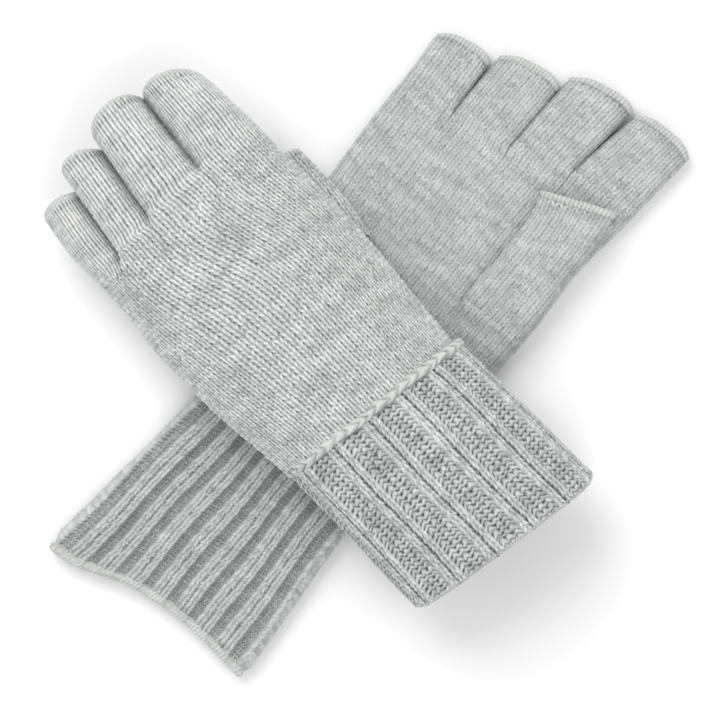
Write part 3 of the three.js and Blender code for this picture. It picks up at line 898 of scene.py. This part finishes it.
def cuff_piece(glove):
    """The ribbed cuff, with its edge."""
    rib, hem = glove["rib"], glove["cuff_hem"]
    places = rib_places(glove)
    length = cuff_length(glove)
    courses = round(length / rib["course"])
    shares = np.linspace(0, 1 - 0.45 * hem["band"] / length, courses + 1)
    rings, centres = zip(*[cuff_base(glove, share, places) for share in shares])
    columns = len(places)
    wale = (np.arange(columns) / WALE_STEPS) % RIB_WALES
    plain = near_folds(glove, places)

    def ribs(rows, total):
        from_end = (total - rows) * rib["course"]
        from_seam = rows * rib["course"]
        kept = hem["rib_end"]
        strength = kept + (1 - kept) * smoothstep(from_end, 0, 5)
        strength = strength * (0.5 + 0.5 * smoothstep(from_seam, 0, 6))
        return rib_rise(columns, rib["rise"])[None, :] * strength

    slant = np.convolve(np.where(wale < KNIT_WALES, 0.5, 0.0), [0.25, 0.5, 0.25], mode="same")
    # painted shade in the hollows between the ribs, taken away at the folds
    shade = rib["valley"] + (1 - rib["valley"]) * np.clip(rib_rise(columns, 1), 0, 1)
    shade = shade + (1 - shade) * plain
    fabric = Fabric(glove)
    fabric.knit(np.array(rings), np.array(centres), 81, slant=slant, slack=0.2,
                stitch=rib_stitch_of(glove, wale[None, :], plain), dip=ribs, shade=shade, scatter=1.7)
    yarn = laid_rib if glove["palm_up"] else worn_rib
    piece = fabric.build(f"{glove['name']}_cuff_rib", yarn, [f"{glove['name']}_cuff"])
    cuff_end(glove, places)
    return piece


def cuff_end(glove, places):
    """The cuff's start-up edge, rolled round the rim and running back inside."""
    name = glove["name"]
    hem = glove["cuff_hem"]
    band, proud = hem["band"], hem["proud"]
    profile = [(-band - 0.2, -0.1), (-band * 0.8, 0.65 * proud), (-band * 0.55, proud),
               (-band * 0.25, 0.9 * proud), (-0.1, 0.45 * proud), (0.25, -0.1), (0.1, -0.8), (-0.7, -1.3),
               (-2.5, -1.4), (-6.0, -1.0), (-12.0, -0.2)]
    ribs = rib_rise(len(places), glove["rib"]["rise"]) * hem["ribs"]
    rings = []
    for forward, outward in profile:
        ring, centre = cuff_base(glove, 1 + min(forward, 0) / cuff_length(glove), places)
        normal = ring_normals(ring, centre)
        ring[:, 1] -= max(forward, 0)
        rings.append(ring + normal * (outward + ribs)[:, None])
    turns = np.arange(len(places))[None, :] / WALE_STEPS * 2.5 + np.arange(len(profile))[:, None] * 0.22
    waves = np.abs(np.sin(math.pi * turns)) ** 0.8
    body = "right_glove" if glove["palm_up"] else "left_cuff"
    # painted shade, darker between the edge's bumps
    rolled_edge(glove, np.array(rings), 0.2 * waves, 0.4 + 0.4 * waves, 5, f"{name}_cuff_hem_roll",
                f"{name}_cuff_hem", body)


def linking_seam(glove):
    """The chain of linked stitches between hand and cuff: a ridge of slanting, uneven loops."""
    name = glove["name"]
    start = glove["hand"][0][0]
    section = read_table(glove["cuff"], start)
    columns = SEAM_LINKS * WALE_STEPS
    places = np.linspace(0, CUFF_WALES, columns + 1) + glove["cuff_phase"]
    ring = cuff_ring(glove, section, SEAM_INSET, places)
    centre = np.array([(section[LEFT_EDGE] + section[RIGHT_EDGE]) / 2, 0, section[HEIGHT]])
    normal = ring_normals(ring, centre)

    link = np.arange(columns + 1)[None, :] / WALE_STEPS
    random = np.random.default_rng(91)
    sizes, shifts, turns = [np.interp(link, np.arange(SEAM_LINKS + 2), values)
                            for values in random.uniform(-1, 1, (3, SEAM_LINKS + 2))]
    crossing = np.linspace(-1, 1, 11)[:, None]
    slanted = link + (0.7 + 0.3 * turns) * np.abs(crossing - 0.25 * shifts) + 0.25 * sizes
    loop = np.abs(np.sin(math.pi * slanted)) ** 0.6
    ridge = np.clip(1 - crossing ** 2, 0, 1) ** 0.35
    rise = ridge * (1.5 + (1.3 + 0.5 * sizes) * loop) - 0.4
    grid = ring[None, :, :] + normal[None, :, :] * rise[..., None]
    grid[..., 1] = start - 0.8 + crossing * SEAM_HALF_WIDTH + 0.45 * shifts
    inside = np.repeat(np.array([[centre[0], start - 1.2, centre[2]]]), len(crossing), axis=0)
    _, faces_out = normals_of(grid, inside)
    fabric = Fabric(glove)
    # painted shade between the chain's loops and down the sides of its ridge
    fabric.add(grid, (0.3 + 0.6 * loop) * ridge ** 0.5, faces_out, SEAM_LINKS, 2)
    piece = fabric.build(f"{name}_seam_chain", edge_yarn, [f"{name}_linking_seam"])
    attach(piece, f"{name}_glove")


# ---- materials

def noise(tree, source, scale, noise_scale, detail, roughness=0.6):
    """Noise over stretched coordinates."""
    mapping = tree.nodes.new("ShaderNodeMapping")
    mapping.inputs["Scale"].default_value = scale
    node = tree.nodes.new("ShaderNodeTexNoise")
    node.inputs["Scale"].default_value = noise_scale
    node.inputs["Detail"].default_value = detail
    node.inputs["Roughness"].default_value = roughness
    tree.links.new(source, mapping.inputs["Vector"])
    tree.links.new(mapping.outputs["Vector"], node.inputs["Vector"])
    return node.outputs["Fac"]


def combined(tree, operation, first, second):
    """Adds or multiplies a value and another value or number."""
    node = tree.nodes.new("ShaderNodeMath")
    node.operation = operation
    tree.links.new(first, node.inputs[0])
    if isinstance(second, float):
        node.inputs[1].default_value = second
    else:
        tree.links.new(second, node.inputs[1])
    return node.outputs[0]


def heather(tree, fibres, dark, light):
    """The yarn's mottled greys: slow clouds, streaks of a few stitches, and single fibres."""
    stitches = tree.nodes.new("ShaderNodeUVMap")
    stitches.uv_map = "Stitches"
    clouds = noise(tree, stitches.outputs["UV"], (0.17, 0.4, 1), 1.0, 2)
    streaks = noise(tree, stitches.outputs["UV"], (0.7, 1.5, 1), 1.0, 2)
    blend = combined(tree, "MULTIPLY", clouds, 0.35)
    blend = combined(tree, "ADD", blend, combined(tree, "MULTIPLY", streaks, 0.2))
    blend = combined(tree, "ADD", blend, combined(tree, "MULTIPLY", fibres, 0.6))
    node = tree.nodes.new("ShaderNodeValToRGB")
    darkest, lightest = node.color_ramp.elements
    darkest.position, lightest.position = 0.435, 0.755
    darkest.color, lightest.color = (*dark, 1), (*light, 1)
    tree.links.new(blend, node.inputs["Fac"])
    return node.outputs["Color"]


def shaded(tree, colour, groove):
    """Paints shade into a colour: darker where the relief attribute is low, in the grooves between stitches.
    """
    relief = tree.nodes.new("ShaderNodeAttribute")
    relief.attribute_name = "relief"
    shade = tree.nodes.new("ShaderNodeMapRange")
    shade.inputs["From Max"].default_value = 0.85
    shade.inputs["To Min"].default_value = groove
    shade.inputs["To Max"].default_value = 1.05
    scaled = tree.nodes.new("ShaderNodeVectorMath")
    scaled.operation = "SCALE"
    tree.links.new(relief.outputs["Fac"], shade.inputs["Value"])
    tree.links.new(colour, scaled.inputs[0])
    tree.links.new(shade.outputs["Result"], scaled.inputs["Scale"])
    return scaled.outputs["Vector"]


def yarn_material(name, dark, light, groove):
    """Soft, rough heather yarn with a faint sheen, a fine nap of fibres and painted shade as dark as groove.
    """
    material = bpy.data.materials.new(name)
    material.use_nodes = True
    tree = material.node_tree
    shader = tree.nodes["Principled BSDF"]
    shader.inputs["Roughness"].default_value = 0.95
    shader.inputs["Specular IOR Level"].default_value = 0.2
    shader.inputs["Sheen Weight"].default_value = 0.25
    shader.inputs["Sheen Roughness"].default_value = 0.5
    place = tree.nodes.new("ShaderNodeTexCoord")
    fibres = noise(tree, place.outputs["Object"], (1, 1, 1), 2600, 3, 0.75)
    colour = shaded(tree, heather(tree, fibres, dark, light), groove)
    tree.links.new(colour, shader.inputs["Base Color"])
    bump = tree.nodes.new("ShaderNodeBump")
    bump.inputs["Strength"].default_value = 0.55
    bump.inputs["Distance"].default_value = 0.00025
    tree.links.new(fibres, bump.inputs["Height"])
    tree.links.new(bump.outputs["Normal"], shader.inputs["Normal"])
    return material


# The last number of each is how dark the painted shade leaves the deepest grooves; the worn glove's copies,
# with the deepest painted shade, have lighter lights.
laid_knit = yarn_material("laid_plain_knit", (0.31, 0.325, 0.32), (0.77, 0.78, 0.77), 0.42)
worn_knit = yarn_material("worn_plain_knit", (0.41, 0.425, 0.42), (0.90, 0.91, 0.90), 0.0)
laid_rib = yarn_material("laid_rib_heather", (0.36, 0.375, 0.37), (0.71, 0.72, 0.71), 0.15)
worn_rib = yarn_material("worn_rib_heather", (0.39, 0.405, 0.40), (0.84, 0.85, 0.84), 0.0)
edge_yarn = yarn_material("edge_yarn_heather", (0.42, 0.43, 0.42), (0.77, 0.78, 0.77), 0.3)


# ---- the two gloves

def whole_glove(glove):
    """Knits all the pieces of one glove."""
    name = glove["name"]
    back, palm = (-1, 1) if glove["palm_up"] else (1, -1)
    for side, label in ((back, "back"), (palm, "palm")):
        piece = hand_piece(glove, side, f"{name}_hand_{label}", [f"{name}_hand"])
        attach(piece, f"{name}_glove")
    for lane, (finger_name, finger) in enumerate(glove["fingers"].items()):
        finger_stall(glove, lane, finger_name, finger)
    thumb_stall(glove)
    linking_seam(glove)
    cuff = cuff_piece(glove)
    if glove["palm_up"]:
        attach(cuff, "right_glove")
    else:
        bend(cuff, glove, "left_glove", "left_cuff", "left_cuff_bend", *CUFF_BEND)


whole_glove(RIGHT)
whole_glove(LEFT)


# ---- floor, light and camera

def floor():
    """A pale floor, a hair below the resting plane."""
    size, gap = 2.0, 0.0003
    corners = np.array([[-size, -size, 0], [size, -size, 0], [size, size, 0], [-size, size, 0]])
    mesh = mesh_of_quads("floor", corners, np.array([[0, 1, 2, 3]]))
    plane = in_scene("floor", mesh)
    plane.location.z = -gap
    material = bpy.data.materials.new("pale_floor")
    material.use_nodes = True
    shader = material.node_tree.nodes["Principled BSDF"]
    shader.inputs["Base Color"].default_value = (0.93, 0.93, 0.93, 1)
    shader.inputs["Roughness"].default_value = 0.9
    shader.inputs["Specular IOR Level"].default_value = 0.1
    mesh.materials.append(material)


def soft_light(name, place, size, power):
    """A square light aimed at the middle of the gloves."""
    light = bpy.data.lights.new(name, "AREA")
    light.size = size
    light.energy = power
    lamp = in_scene(name, light)
    lamp.location = place
    lamp.rotation_euler = (-lamp.location).to_track_quat("-Z", "Y").to_euler()


def studio():
    world = bpy.data.worlds.new("studio")
    world.use_nodes = True
    background = world.node_tree.nodes["Background"]
    background.inputs["Color"].default_value = (1, 1, 1, 1)
    background.inputs["Strength"].default_value = 0.7
    bpy.context.scene.world = world
    soft_light("key", (-1.0, 0.4, 1.4), 1.2, 17)
    soft_light("fill", (0.8, -0.5, 1.6), 1.6, 9)


def camera():
    """Straight down, turned so that the gloves cross as in the product shot."""
    view_width, lens = 0.252, 600
    middle_x, middle_y, middle_height = 0.01636, -0.00234, 0.02
    turn = math.radians(39.56)
    lens_data = bpy.data.cameras.new("camera")
    lens_data.lens = lens
    lens_data.clip_end = 20
    eye = in_scene("camera", lens_data)
    eye.location = (middle_x, middle_y, view_width * lens / lens_data.sensor_width + middle_height)
    eye.rotation_euler = (0, 0, turn)
    bpy.context.scene.camera = eye


floor()
studio()
camera()
bpy.context.scene.view_settings.view_transform = "Standard"
